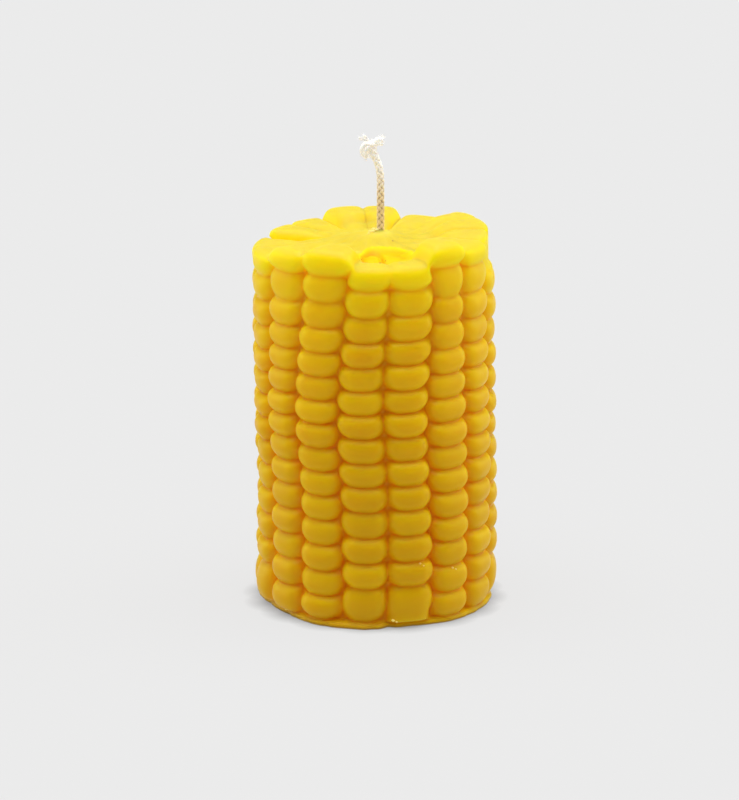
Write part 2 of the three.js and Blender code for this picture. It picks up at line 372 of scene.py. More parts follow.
def hollow_at(x, y):
    """Depth of the top's hollow at a place, its share and the share of the socket's ring."""
    # The hollow's wall takes up the outer part of its reach, and the ring lies round the nub.
    in_hollow = 1 - fade(0.6, 1.0, oval_reach(x, y, HOLLOW_MIDDLE, HOLLOW_SIZE, 3))
    reach = oval_reach(x, y, SOCKET_MIDDLE, SOCKET_SIZE)
    in_ring = fade(0.3, NUB_REACH + 0.25, reach) * (1 - fade(0.75, 1.0, reach))
    in_hollow = max(in_hollow, 1 - fade(0.8, 1.0, reach))
    return HOLLOW_DEPTH * in_hollow + SOCKET_DEPTH * in_ring, in_hollow, in_ring


def row_top_height(row, across, radius):
    """Height of the top in the middle part of a row."""
    end = TOP_KERNEL_ENDS[row] + END_CURVE * across * across
    slope = GENTLE_SLOPE if row in GENTLE_ROWS else WALL_SLOPE
    early = fade(end - EARLY_RISE, end, radius)
    on_kernel = mix(fade(end - slope, end + slope, radius), early, EARLY_SHARE)
    kernel_top = ROW_TOPS[row] - SIDE_DROP * abs(across) ** 3
    return mix(mound_height(radius), kernel_top, on_kernel)


def groove_top_height(row, radius):
    """Height of the top in the groove after a row."""
    following = (row + 1) % ROW_COUNT
    lower = min(row_top_height(row, 1, radius), row_top_height(following, -1, radius))
    is_inner = row // 2 == following // 2
    groove = FILLED_LINES.get(row, ROW_GROOVE if is_inner else PAIR_GROOVE)
    return lower - groove * fade(MOUND_RADIUS, MOUND_RADIUS + GROOVE_FADE, radius)


def top_height(row, across, radius):
    """Height of the top anywhere in a row, with its sides turned down into the grooves."""
    edge_row = row if across > 0 else (row - 1) % ROW_COUNT
    half_width = math.pi * radius / ROW_COUNT
    rounded = min(WALL_ROUNDING, 0.6 * half_width)
    past = max(0.0, abs(across) * half_width - (half_width - rounded)) / rounded
    share = 1 - math.sqrt(1 - min(1.0, past) ** 2)
    return mix(row_top_height(row, across, radius), groove_top_height(edge_row, radius), share)


print("top from", min(ROW_TOPS), "to", max(ROW_TOPS), "mm, mound", mound_height(0))

# %% [markdown]
# ## The foot
# The mould leaves a thin rim under the lowest kernels. The wax did not fill its edge evenly, so
# the rim's radius changes from row to row, it wavers, and it has a chip at the front.

# %% Rim of the foot
FOOT_RADII = [
    27.6, 25.8, 27, 26.9, 27.1, 26.5, 26.8, 26.3, 26.7, 26.2, 26.6, 27.3, 27.6, 25.3, 25.2, 27.2,
]
# Inset from the rim and height of each ring, from the bottom face up.
FOOT_RINGS = [(0.55, 0.0), (0.16, 0.05), (0.0, 0.25), (0.0, 0.65), (0.12, 0.95), (0.45, 1.2)]
RIM_WAVER = 0.28
CHIP_ANGLE = 6.5
CHIP_WIDTH = 3.0
CHIP_DEPTH = 1.1
# A swell below 0 marks painted shade on the rim, which is strongest left of the front, and a
# painted shadow along its underside.
RIM_PAINTED_SHADE = -0.35
RIM_UNSHADED = 0.2
UNDERSIDE_PAINTED_SHADOW = -1.0
UNDERSIDE_HEIGHT = 0.3
RIM_SHADE_ANGLE = -35
RIM_SHADE_FADE = (30, 80)


def rim_radius(row, across, angle):
    neighbour = (row + (1 if across > 0 else -1)) % ROW_COUNT
    rim = mix(FOOT_RADII[row], FOOT_RADII[neighbour], abs(across) / 2)
    around = Vector((math.cos(angle * RADIANS), math.sin(angle * RADIANS), 0))
    waver = noise.noise(around * 7) + 0.6 * noise.noise(around * 19)
    chip = CHIP_DEPTH * math.exp(-(((angle - CHIP_ANGLE) / CHIP_WIDTH) ** 2))
    return rim + RIM_WAVER * waver - chip


print("rim wavers by", RIM_WAVER, "mm")

# %% [markdown]
# ## The wax body as one spun mesh
# The body could be cut from a cylinder kernel by kernel, but a spin gives cleaner mesh lines.
# A straight chain of vertices, one for each ring of the finished body, is spun once round the
# axis. Its height only counts the rings. Then every vertex is looked up by its ring and its
# place round the axis, and moved to where the rules above put it: over the bottom face, up the
# kernels, across the top and down the hole round the wick. The chain is closed, so the mesh is
# one closed skin with no poles.

# %% Rings and columns of the body
COLUMNS_PER_ROW = 18
ACROSS_CROWD = 0.55
LINE_CROWD = 0.4
SIDE_LEVELS = FULL_ROW_KERNELS * (FULL_ROW_KERNELS - 1)
WICK_X = 1.25
# The innermost rings are centred on the wick and the outer ones on the cob, between these radii.
CENTRING = (1.5, 7)
HOLE_RADIUS = 1.23
SEAL_RADIUS = 0.74
# Radii on the bottom face, from the wick hole to the rim.
BOTTOM_RADII = [HOLE_RADIUS, 1.5, 2.4, 5, 9, 14, 19, 23, 25]
TOP_RINGS = 42
TOP_RINGS_END = 3.2
# Rings over which the top takes over from the end of the side.
TOP_BLEND = 2.2
# Share of a top kernel's rings that lie below its round upper edge.
BELOW_EDGE = 0.4
# Counted down from the top: rings whose lines drop to the top's grooves, and rings whose colour
# turns from a groove's painted shade to a crown's.
GROOVE_DROP_RINGS = 30
OPEN_SIDE_RINGS = (12, 3)
# Only close to a line between rows does the height go over to the line's own height.
EDGE_POWER = 8
# The last rings on the top climb a little up the wick.
SEAL_RINGS = [(2.7, 0.0), (2.2, 0.03), (1.8, 0.1), (1.45, 0.2), (1.2, 0.34), (1.0, 0.5),
              (0.86, 0.68), (SEAL_RADIUS, 0.8)]
# Radius and height of the rings down the hole.
HOLE_RINGS = [(SEAL_RADIUS, 86), (HOLE_RADIUS, 80), (HOLE_RADIUS, 40), (HOLE_RADIUS, 3)]

foot_start = len(BOTTOM_RADII)
side_start = foot_start + len(FOOT_RINGS)
top_start = side_start + SIDE_LEVELS + 1
seal_start = top_start + TOP_RINGS
hole_start = seal_start + len(SEAL_RINGS)
ring_count = hole_start + len(HOLE_RINGS)
column_count = ROW_COUNT * COLUMNS_PER_ROW
print(ring_count, "rings of", column_count)


# %% Heights of the side rings
def top_kernel_height(row, share):
    """Height on a top kernel, whose upper levels are spread evenly round its top edge."""
    low, high = LINES[row][-2:]
    edge = TOP_EDGES[row]
    if share < BELOW_EDGE:
        return mix(low, high - edge, share / BELOW_EDGE)
    turn = (share - BELOW_EDGE) / (1 - BELOW_EDGE) * math.pi / 2
    return high - edge * (1 - math.sin(turn))


@functools.cache
def side_height(row, across, level):
    """Height of a side ring inside a row."""
    levels = SIDE_LEVELS // kernels_in(row)
    kernel = min(level // levels, kernels_in(row) - 1)
    share = (level - kernel * levels) / levels
    if kernel == kernels_in(row) - 1:
        height = top_kernel_height(row, share)
    else:
        height = mix(LINES[row][kernel], LINES[row][kernel + 1], crowd(share, LINE_CROWD))
    return height + sag_at(row, across, height)


@functools.cache
def edge_height(row, level):
    """Height of a side ring on the line after a row."""
    following = (row + 1) % ROW_COUNT
    left = side_height(row, 1, level)
    right = side_height(following, -1, level)
    near_top = fade(SIDE_LEVELS - GROOVE_DROP_RINGS, SIDE_LEVELS, level)
    lowest = groove_top_height(row, CROWN_RADIUS - TOP_EDGES[row])
    return mix((left + right) / 2, min(lowest, (left + right) / 2), near_top)


def side_radius(row, across, level, height):
    """Radius of the side, rounded over where the row meets the top."""
    own, own_extra = swell_at(row, across, height)
    neighbour = (row + (1 if across > 0 else -1)) % ROW_COUNT
    beyond = across - 2 if across > 0 else across + 2
    other, other_extra = swell_at(neighbour, beyond, height)
    swell, extra = max((own, own_extra), (other, other_extra))
    swell += (1 - swell) * BARED_FILL * fade(*BARED_ZONE, height - ROW_TOPS[neighbour])
    top_line = LINES[row][-2]
    filled = UPPER_FILL * fade(*UPPER_FILL_ZONE, height)
    filled += TOP_FILL * fade(*TOP_FILL_ZONE, height - top_line)
    swell += (1 - swell) * filled
    middle_height = side_height(row, 0, level)
    below_top = (ROW_TOPS[row] - middle_height) / TOP_EDGES[row]
    turned = 1 - min(1.0, max(0.0, below_top))
    rounding = TOP_EDGES[row] * (1 - math.sqrt(1 - turned * turned))
    rounding += TOP_INSETS[row] * fade(top_line, top_line + INSET_RISE, middle_height)
    radius = CROWN_RADIUS - KERNEL_DEPTH * (1 - swell) + extra - rounding
    open_side = fade(*(SIDE_LEVELS - rings for rings in OPEN_SIDE_RINGS), level)
    return radius, mix(swell, 1.0, open_side)


@functools.cache
def side_point(row, across, level):
    """Radius, height and swell of the side in a row or, at -1, on the line before it."""
    before = (row - 1) % ROW_COUNT
    if across == -1:
        height = edge_height(before, level)
        left, left_swell = side_radius(before, 1, level, height)
        right, right_swell = side_radius(row, -1, level, height)
        return (left + right) / 2, height, (left_swell + right_swell) / 2
    edge = edge_height(row if across > 0 else before, level)
    height = mix(side_height(row, across, level), edge, abs(across) ** EDGE_POWER)
    radius, swell = side_radius(row, across, level, height)
    return radius, height, swell


# %% Rings of the bottom, the top and the hole
def top_point(row, across, ring):
    """Radius, height and swell on the top, starting where the side ends."""
    rim, rim_height, _ = side_point(row, across, SIDE_LEVELS)
    if ring < seal_start:
        share = (ring - top_start + 1) / TOP_RINGS
        radius = mix(rim, TOP_RINGS_END, share)
        climb = 0.0
    else:
        share = 1.0
        radius, climb = SEAL_RINGS[ring - seal_start]
    height = top_height(row, across, radius)
    height = mix(rim_height, height, fade(0, TOP_BLEND / TOP_RINGS, share))
    return radius, height + climb, 1.0


def lumps(x, y):
    """Uneven skin of the middle of the top, where the wax set in the open."""
    place = Vector((x, y, 0))
    return noise.noise(place * BROAD_LUMPS) + FINE_SHARE * noise.noise(place * FINE_LUMPS)


def foot_painted_shade(angle):
    """Swell of the rim, which is below zero where it is painted with shade."""
    from_front = (angle + 180) % 360 - 180
    return mix(RIM_PAINTED_SHADE, RIM_UNSHADED, fade(*RIM_SHADE_FADE, abs(from_front - RIM_SHADE_ANGLE)))


def ring_point(row, across, ring):
    """Radius, height and swell of a vertex of the body."""
    if ring < foot_start:
        radius = BOTTOM_RADII[ring]
        return radius, 0.0, 1.0
    if ring < side_start:
        inset, height = FOOT_RINGS[ring - foot_start]
        angle = mix(edge_angle(row - 1, height), edge_angle(row, height), (across + 1) / 2)
        # The underside gets a painted shadow, the rim above it painted shade.
        rim_shade = UNDERSIDE_PAINTED_SHADOW if height < UNDERSIDE_HEIGHT else foot_painted_shade(angle)
        return rim_radius(row, across, angle) - inset, height, rim_shade
    if ring < top_start:
        return side_point(row, across, ring - side_start)
    if ring < hole_start:
        return top_point(row, across, ring)
    radius, height = HOLE_RINGS[ring - hole_start]
    return radius, height, 1.0


kernel_tone = draw_for_kernels(KERNEL_TONE)


def paleness(row, ring):
    """How pale the wax is painted, a painted light from 0 on the lower kernels to 1 on the top
    ones.
    """
    if ring < side_start:
        return 0.0
    if ring >= top_start:
        return 1.0
    levels = SIDE_LEVELS // kernels_in(row)
    from_top = max(0, SIDE_LEVELS - 1 - (ring - side_start)) // levels
    step = PALE_STEPS[from_top] if from_top < len(PALE_STEPS) else 0.0
    return max(step, KERNEL_TONE + kernel_tone[row][from_top])


def body_vertex(column, ring):
    """Place of a vertex, its swell and its paleness."""
    row, step = divmod(column, COLUMNS_PER_ROW)
    share = crowd(step / COLUMNS_PER_ROW, ACROSS_CROWD)
    radius, height, swell = ring_point(row, 2 * share - 1, ring)
    angle = mix(edge_angle(row - 1, height), edge_angle(row, height), share) * RADIANS
    middle = 0.0 if foot_start <= ring < top_start else WICK_X * (1 - fade(*CENTRING, radius))
    x = middle + radius * math.sin(angle)
    y = -radius * math.cos(angle)
    pale = paleness(row, ring)
    if top_start <= ring < hole_start:
        # Painted light round the wick lifts the shade there.
        pale += WICK_PAINTED_LIGHT * (1 - fade(*WICK_LIGHT_REACH, radius))
    if top_start <= ring < seal_start:
        lively = 1 - fade(*LUMP_CALM, radius)
        height += LUMP_HEIGHT * lumps(x, y) * mix(LUMP_CALM_SHARE, 1, lively)
        depth, in_hollow, in_ring = hollow_at(x, y)
        height -= depth
        # Painted shade in the socket's ring and the hollow.
        swell -= SOCKET_SHADE * in_ring
        pale -= HOLLOW_SHADE * in_hollow
    return Vector((x + bend_at(height), y, height)), swell, pale


# %% [markdown]
# ## Spinning and finishing a mesh
# `spin_chain` turns a chain of vertices into rings with Blender's spin. `finish_piece` closes
# every piece in the same way: its normals are made to point outwards, it is shaded smooth, it
# is scaled to metres, and it is told which body it rides on and which finish it takes.

# %% Shared mesh helpers
def spin_chain(bm, chain, steps, is_closed=False):
    """Spins a chain of (radius, height) points once round the Z axis."""
    points = [bm.verts.new((radius, 0, height)) for radius, height in chain]
    pairs = list(zip(points, points[1:]))
    if is_closed:
        pairs.append((points[-1], points[0]))
    edges = [bm.edges.new(pair) for pair in pairs]
    bmesh.ops.spin(bm, geom=points + edges, axis=(0, 0, 1), cent=(0, 0, 0),
                   angle=2 * math.pi, steps=steps, use_merge=True)
    poles = [vertex for vertex in bm.verts if vertex.co.xy.length < 1e-5]
    bmesh.ops.remove_doubles(bm, verts=poles, dist=1e-4)


def finish_piece(bm, name, material, replaced=()):
    bmesh.ops.recalc_face_normals(bm, faces=bm.faces)
    bmesh.ops.scale(bm, vec=(MM, MM, MM), verts=bm.verts)
    for face in bm.faces:
        face.smooth = True
    mesh = bpy.data.meshes.new(name)
    bm.to_mesh(mesh)
    bm.free()
    mesh.materials.append(material)
    piece = bpy.data.objects.new(name, mesh)
    bpy.context.scene.collection.objects.link(piece)
    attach(piece, "root")
    if replaced:
        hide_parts(*replaced)
    mesh.calc_loop_triangles()
    print(name, len(mesh.loop_triangles), "triangles")
    return piece


# %% [markdown]
# ## Node helpers and shared groups
# Two small groups are built once. One makes soft clouds of two scales, for colour that drifts
# through the wax, and more than one finish uses it. The other adds up fine grain and wider dents
# as a height, which the wax turns into a bump of its own strength.

# %% Node helpers
def new_group(name, inputs, outputs):
    group = bpy.data.node_groups.new(name, "ShaderNodeTree")
    for label, kind, value in inputs:
        socket = group.interface.new_socket(label, in_out="INPUT", socket_type=kind)
        if value is not None:
            socket.default_value = value
    for label, kind in outputs:
        group.interface.new_socket(label, in_out="OUTPUT", socket_type=kind)
    return group, group.nodes.new("NodeGroupInput"), group.nodes.new("NodeGroupOutput")


def add_noise(tree, vector, scale, detail=2.0, roughness=0.5):
    texture = tree.nodes.new("ShaderNodeTexNoise")
    tree.links.new(vector, texture.inputs["Vector"])
    if isinstance(scale, (int, float)):
        texture.inputs["Scale"].default_value = scale
    else:
        tree.links.new(scale, texture.inputs["Scale"])
    texture.inputs["Detail"].default_value = detail
    texture.inputs["Roughness"].default_value = roughness
    return texture.outputs["Fac"]


def add_math(tree, operation, first, second):
    node = tree.nodes.new("ShaderNodeMath")
    node.operation = operation
    for socket, value in zip(node.inputs, (first, second)):
        if isinstance(value, (int, float)):
            socket.default_value = value
        else:
            tree.links.new(value, socket)
    return node.outputs[0]


def add_range(tree, value, from_low, from_high, to_low, to_high):
    node = tree.nodes.new("ShaderNodeMapRange")
    node.interpolation_type = "SMOOTHSTEP"
    tree.links.new(value, node.inputs["Value"])
    limits = zip(("From Min", "From Max", "To Min", "To Max"),
                 (from_low, from_high, to_low, to_high))
    for label, limit in limits:
        node.inputs[label].default_value = limit
    return node.outputs["Result"]


def add_mix(tree, share, first, second):
    node = tree.nodes.new("ShaderNodeMix")
    node.data_type = "RGBA"
    tree.links.new(share, node.inputs["Factor"])
    for label, value in (("A", first), ("B", second)):
        socket = next(s for s in node.inputs if s.name == label and s.type == "RGBA")
        if isinstance(value, tuple):
            socket.default_value = (*value, 1)
        else:
            tree.links.new(value, socket)
    return next(s for s in node.outputs if s.type == "RGBA")


def add_attribute(tree, name):
    node = tree.nodes.new("ShaderNodeAttribute")
    node.attribute_name = name
    return node


def add_height(tree, coordinates):
    """Height of the shaded point in its piece."""
    node = tree.nodes.new("ShaderNodeSeparateXYZ")
    tree.links.new(coordinates, node.inputs[0])
    return node.outputs["Z"]


# %% Cloud and grain groups
cloud_group, cloud_in, cloud_out = new_group(
    "Soft clouds",
    [("Vector", "NodeSocketVector", None), ("Size", "NodeSocketFloat", 60.0)],
    [("Mask", "NodeSocketFloat")],
)
broad = add_noise(cloud_group, cloud_in.outputs["Vector"], cloud_in.outputs["Size"], 2)
small_size = add_math(cloud_group, "MULTIPLY", cloud_in.outputs["Size"], 4.5)
small = add_noise(cloud_group, cloud_in.outputs["Vector"], small_size, 3)
both = add_math(cloud_group, "ADD", add_math(cloud_group, "MULTIPLY", small, 0.4), broad)
cloud_group.links.new(add_range(cloud_group, both, 0.5, 0.9, 0, 1), cloud_out.inputs["Mask"])

grain_group, grain_in, grain_out = new_group(
    "Grain and dents",
    [("Vector", "NodeSocketVector", None), ("Grain", "NodeSocketFloat", 1500.0),
     ("Dents", "NodeSocketFloat", 250.0), ("Dent depth", "NodeSocketFloat", 3.0)],
    [("Height", "NodeSocketFloat")],
)
fine = add_noise(grain_group, grain_in.outputs["Vector"], grain_in.outputs["Grain"], 4, 0.6)
wide = add_noise(grain_group, grain_in.outputs["Vector"], grain_in.outputs["Dents"], 1)
deep = add_math(grain_group, "MULTIPLY", wide, grain_in.outputs["Dent depth"])
grain_group.links.new(add_math(grain_group, "ADD", fine, deep), grain_out.inputs["Height"])
print("groups", [group.name for group in bpy.data.node_groups])


# %% Start of a material
def new_material(name):
    """A material with its tree, its Principled shader and the piece's own coordinates."""
    material = bpy.data.materials.new(name)
    material.use_nodes = True
    tree = material.node_tree
    shader = tree.nodes["Principled BSDF"]
    coordinates = tree.nodes.new("ShaderNodeTexCoord").outputs["Object"]
    return material, tree, shader, coordinates


def use_group(tree, group, vector, **values):
    node = tree.nodes.new("ShaderNodeGroup")
    node.node_tree = group
    tree.links.new(vector, node.inputs["Vector"])
    for label, value in values.items():
        node.inputs[label.replace("_", " ")].default_value = value
    return node.outputs[0]


def add_bump(tree, shader, height, distance, strength=1.0):
    bump = tree.nodes.new("ShaderNodeBump")
    bump.inputs["Distance"].default_value = distance
    bump.inputs["Strength"].default_value = strength
    tree.links.new(height, bump.inputs["Height"])
    tree.links.new(bump.outputs["Normal"], shader.inputs["Normal"])


# %% [markdown]
# ## Beeswax
# Beeswax lets light in: it glows near an edge that faces the light, and its grooves turn deep
# orange instead of black. So the shader scatters light below the surface, red the furthest and
# blue hardly at all. The mesh carries each vertex's swell, and the colour follows it from a
# golden crown to an orange groove, which is painted shade, or to brown where it is below 0,
# which is painted shade on the rim and a painted shadow under it. It also carries a paleness,
# which is painted light: 0 on the lower kernels, 1 on the top ones, 2 on the open top where it
# faces up to the light and up to 3 round the wick; the hollow and the socket get painted shade.
# The yellow deepens towards the foot, which is painted shade too, and the orange fades towards
# the top. Clouds keep the colour from being flat, and grain and dents break up the satin gloss.

# %% Beeswax material
CROWN_YELLOW = (0.90, 0.51, 0.003)
CLOUD_YELLOW = (0.83, 0.43, 0.002)
DEEP_YELLOW = (0.69, 0.385, 0.002)
# Painted light: paler on the top kernels, on faces turned up to the light and round the wick.
PALE_YELLOW = (0.96, 0.71, 0.003)
TOP_YELLOW = (0.70, 0.545, 0.045)
WICK_LIGHT_YELLOW = (1.0, 0.79, 0.11)
# Painted shade: orange in the grooves, brown on the rim and under it.
GROOVE_ORANGE = (0.87, 0.39, 0.0015)
FOOT_SHADE_BROWN = (0.32, 0.17, 0.02)
# Heights between which the painted shade of the lower kernels lifts and the painted orange of the
# grooves fades.
YELLOW_ZONE = (20 * MM, 85 * MM)
ORANGE_ZONE = (35 * MM, 78 * MM)
WAX_GLOSS = (0.34, 0.46)
LIGHT_REACH = 6.5 * MM
REACH_OF_COLOURS = (1.0, 0.8, 0.12)

wax, tree, shader, coordinates = new_material("Beeswax")
clouds = use_group(tree, cloud_group, coordinates, Size=70.0)
yellow = add_mix(tree, clouds, CROWN_YELLOW, CLOUD_YELLOW)
above_floor = add_height(tree, coordinates)
# Painted shade: the yellow deepens towards the foot.
lowness = add_range(tree, above_floor, *YELLOW_ZONE, 1, 0)
yellow = add_mix(tree, lowness, yellow, DEEP_YELLOW)
pale = add_attribute(tree, "pale").outputs["Fac"]
yellow = add_mix(tree, add_math(tree, "MINIMUM", pale, 1.0), yellow, PALE_YELLOW)
yellow = add_mix(tree, add_range(tree, pale, 1, 2, 0, 1), yellow, TOP_YELLOW)
yellow = add_mix(tree, add_range(tree, pale, 2, 3, 0, 1), yellow, WICK_LIGHT_YELLOW)
swell = add_attribute(tree, "swell").outputs["Fac"]
# Painted shade: the grooves turn orange by their swell, less on the paler kernels and towards the
# top.
in_groove = add_range(tree, swell, 0.05, 0.95, 0.9, 0)
in_groove = add_math(tree, "MULTIPLY", in_groove, add_range(tree, pale, 0, 1, 1, 0.35))
fullness = add_range(tree, above_floor, *ORANGE_ZONE, 1, 0.4)
in_groove = add_math(tree, "MULTIPLY", in_groove, fullness)
yellow = add_mix(tree, in_groove, yellow, GROOVE_ORANGE)
# Painted shade on the rim and a painted shadow under it, where the swell is below 0.
painted_rim_shade = add_range(tree, swell, -1, 0, 0.8, 0)
tree.links.new(add_mix(tree, painted_rim_shade, yellow, FOOT_SHADE_BROWN), shader.inputs["Base Color"])
gloss = use_group(tree, cloud_group, coordinates, Size=240.0)
tree.links.new(add_range(tree, gloss, 0, 1, *WAX_GLOSS), shader.inputs["Roughness"])
shader.inputs["IOR"].default_value = 1.44
shader.inputs["Specular IOR Level"].default_value = 0.12
shader.inputs["Subsurface Weight"].default_value = 1.0
shader.inputs["Subsurface Radius"].default_value = REACH_OF_COLOURS
shader.inputs["Subsurface Scale"].default_value = LIGHT_REACH
height = use_group(tree, grain_group, coordinates, Grain=1600.0, Dents=330.0, Dent_depth=3.0)
add_bump(tree, shader, height, 0.05 * MM, 0.6)
print("wax", len(tree.nodes), "nodes")

# %% [markdown]
# ## Casting the wax body
# Now the chain is spun, moved into shape and lightly smoothed, which rounds the bottoms of the
# grooves as melted wax would. The bared sides of raised kernels are smoothed some more. Where
# the top faces up to the light, painted light raises the paleness by up to 1, and the upper
# shoulders of the kernels below get a painted highlight.

# %% The wax body
# Front rows whose whole top edge is soft.
SOFT_ROWS = (15, 0, 1, 2, 3)
SOFT_RADIUS = 20
SOFT_DEPTH = 3
# A raised row is bared where it stands this much higher than the next row.
BARED_STEP = 1.5
BARED_RADIUS = 12
BARED_DEPTH = 0.5
SMOOTHING_ROUNDS = 3
BARED_SMOOTHING_ROUNDS = 8
SHOULDER_HIGHLIGHT = 0.2


def is_bared(column, place):
    """Whether a vertex is on the part of a raised top kernel that stands over its neighbour."""
    row, step = divmod(column, COLUMNS_PER_ROW)
    neighbour = (row + (1 if 2 * step > COLUMNS_PER_ROW else -1)) % ROW_COUNT
    reach = math.hypot(place.x, place.y)
    if row in SOFT_ROWS and reach > SOFT_RADIUS and place.z > ROW_TOPS[row] - SOFT_DEPTH:
        return True
    is_higher = ROW_TOPS[row] > ROW_TOPS[neighbour] + BARED_STEP
    return is_higher and reach > BARED_RADIUS and place.z > ROW_TOPS[neighbour] - BARED_DEPTH


def smooth(bm, vertices, rounds):
    for _ in range(rounds):
        bmesh.ops.smooth_vert(bm, verts=vertices, factor=0.5, use_axis_x=True,
                              use_axis_y=True, use_axis_z=True)


body = bmesh.new()
chain = [(1, ring) for ring in range(ring_count)]
spin_chain(body, chain, column_count, is_closed=True)
swell_layer = body.verts.layers.float.new("swell")
pale_layer = body.verts.layers.float.new("pale")
side_vertices = []
bared_vertices = []
for vertex in body.verts:
    ring = round(vertex.co.z)
    turn = math.atan2(vertex.co.y, vertex.co.x) / (2 * math.pi)
    column = round(turn * column_count) % column_count
    vertex.co, vertex[swell_layer], vertex[pale_layer] = body_vertex(column, ring)
    if side_start <= ring < seal_start:
        side_vertices.append(vertex)
        if is_bared(column, vertex.co):
            bared_vertices.append(vertex)
smooth(body, side_vertices, SMOOTHING_ROUNDS)
smooth(body, bared_vertices, BARED_SMOOTHING_ROUNDS)
bmesh.ops.recalc_face_normals(body, faces=body.faces)
body.normal_update()
for vertex in body.verts:
    # Painted light: faces turned up to the light grow paler, and upper shoulders get a painted
    # highlight.
    facing_up = vertex.normal.z
    if vertex[pale_layer] > 0.9:
        vertex[pale_layer] += fade(0.2, 1.0, facing_up)
    else:
        vertex[pale_layer] += SHOULDER_HIGHLIGHT * fade(0.1, 0.6, facing_up)
wax_cob = finish_piece(body, "wax_cob", wax, ["wax_body"])

# %% [markdown]
# ## The braided wick
# The wick is a round braid of eight cotton yarns: four wind one way and four the other, over
# and under in turn. Modelling one yarn and letting the rule place the rest keeps the braid
# regular. Each yarn is a straight spun tube that is then laid along its own winding path. The
# braid stands straight in the wax, and above it leans to the left.

# %% The wick's path
WICK_BOTTOM = 0.3
WICK_ROUTE = [
    (WICK_X, 0, WICK_BOTTOM), (WICK_X, 0, 96), (WICK_X, 0, 98), (1.17, 0, 100),
    (0.95, 0, 101.4), (0.55, 0, 102.9), (-0.1, 0, 104.4), (-0.7, 0, 105.8), (-0.85, 0, 107.4),
]


def smooth_path(points, steps):
    """Points on a smooth line through the given ones, with their lengths along it."""
    points = [Vector(point) for point in points]
    ends = [2 * points[0] - points[1], *points, 2 * points[-1] - points[-2]]
    places = []
    for first, start, end, last in zip(ends, ends[1:], ends[2:], ends[3:]):
        gap = (end - start).length
        enter = (end - first).normalized() * gap
        leave = (last - start).normalized() * gap
        for step in range(steps):
            share = step / steps
            start_weight = 2 * share ** 3 - 3 * share ** 2 + 1
            enter_weight = share ** 3 - 2 * share ** 2 + share
            leave_weight = share ** 3 - share ** 2
            places.append(start * start_weight + enter * enter_weight
                          + end * (1 - start_weight) + leave * leave_weight)
    places.append(points[-1])
    lengths = [0.0]
    for start, end in zip(places, places[1:]):
        lengths.append(lengths[-1] + (end - start).length)
    return places, lengths


def along(path, place):
    """Point and direction at a length along a path."""
    places, lengths = path
    index = min(max(bisect.bisect_right(lengths, place) - 1, 0), len(places) - 2)
    start, end = places[index], places[index + 1]
    share = (place - lengths[index]) / (lengths[index + 1] - lengths[index])
    return start.lerp(end, share), (end - start).normalized()


SIDEWAYS = Vector((0, 1, 0))


def cross_section(path, place):
    """Point and direction at a length along a path, and two directions square to it."""
    centre, direction = along(path, place)
    across = SIDEWAYS.cross(direction).normalized()
    return centre, direction, across, direction.cross(across)


wick_path = smooth_path(WICK_ROUTE, 12)
wick_length = wick_path[1][-1]
print("wick", round(wick_length, 1), "mm long")

# %% Laying a tube along a path
def lay_tube(bm, rings, sides, place_of):
    """A closed tube whose ring and turn are handed to place_of, which says where they go."""
    tube = bmesh.new()
    layer = tube.verts.layers.float_vector.new("yarn")
    raised = tube.verts.layers.float.new("raised")
    chain = [(0, 0)] + [(1, ring) for ring in range(rings)] + [(0, rings - 1)]
    spin_chain(tube, chain, sides)
    for vertex in tube.verts:
        ring = round(vertex.co.z)
        turn = math.atan2(vertex.co.y, vertex.co.x)
        spread = round(vertex.co.xy.length)
        vertex[layer], vertex[raised], vertex.co = place_of(ring, turn, spread)
    mesh = bpy.data.meshes.new("tube")
    tube.to_mesh(mesh)
    tube.free()
    bm.from_mesh(mesh)
    bpy.data.meshes.remove(mesh)


def new_yarns():
    bm = bmesh.new()
    bm.verts.layers.float_vector.new("yarn")
    bm.verts.layers.float.new("raised")
    return bm


# %% The braid
BRAID_STEP = 0.8
YARN_COUNT = 8
YARN_WIDTH = 0.40
YARN_THICKNESS = 0.25
BRAID_MIDDLE = 0.55
BRAID_WAVE = 0.13
YARN_RING_STEP = 0.2
YARN_TWIST = 2.2
BRAID_LEAD = BRAID_STEP * YARN_COUNT
# The braid opens to half as wide again over the last part of the wick.
BRAID_OPENING = 0.5
OPENING_START = 4.5
OPENING_END = 1
YARN_SIDES = 8
CORE_RADIUS = 0.5
CORE_RINGS = 60
CORE_SIDES = 10
# How far the core stays inside the bottom and the tip of the braid.
CORE_INSETS = (0.1, 0.5)
# Distances from the braid's middle over which a yarn goes from sunk to raised.
RAISED_ZONE = (0.56, 0.88)
# Streaks are stretched along a yarn, and each yarn has its own stretch of their pattern.
STREAK_STRETCH = 0.5
STREAKS_APART = 10


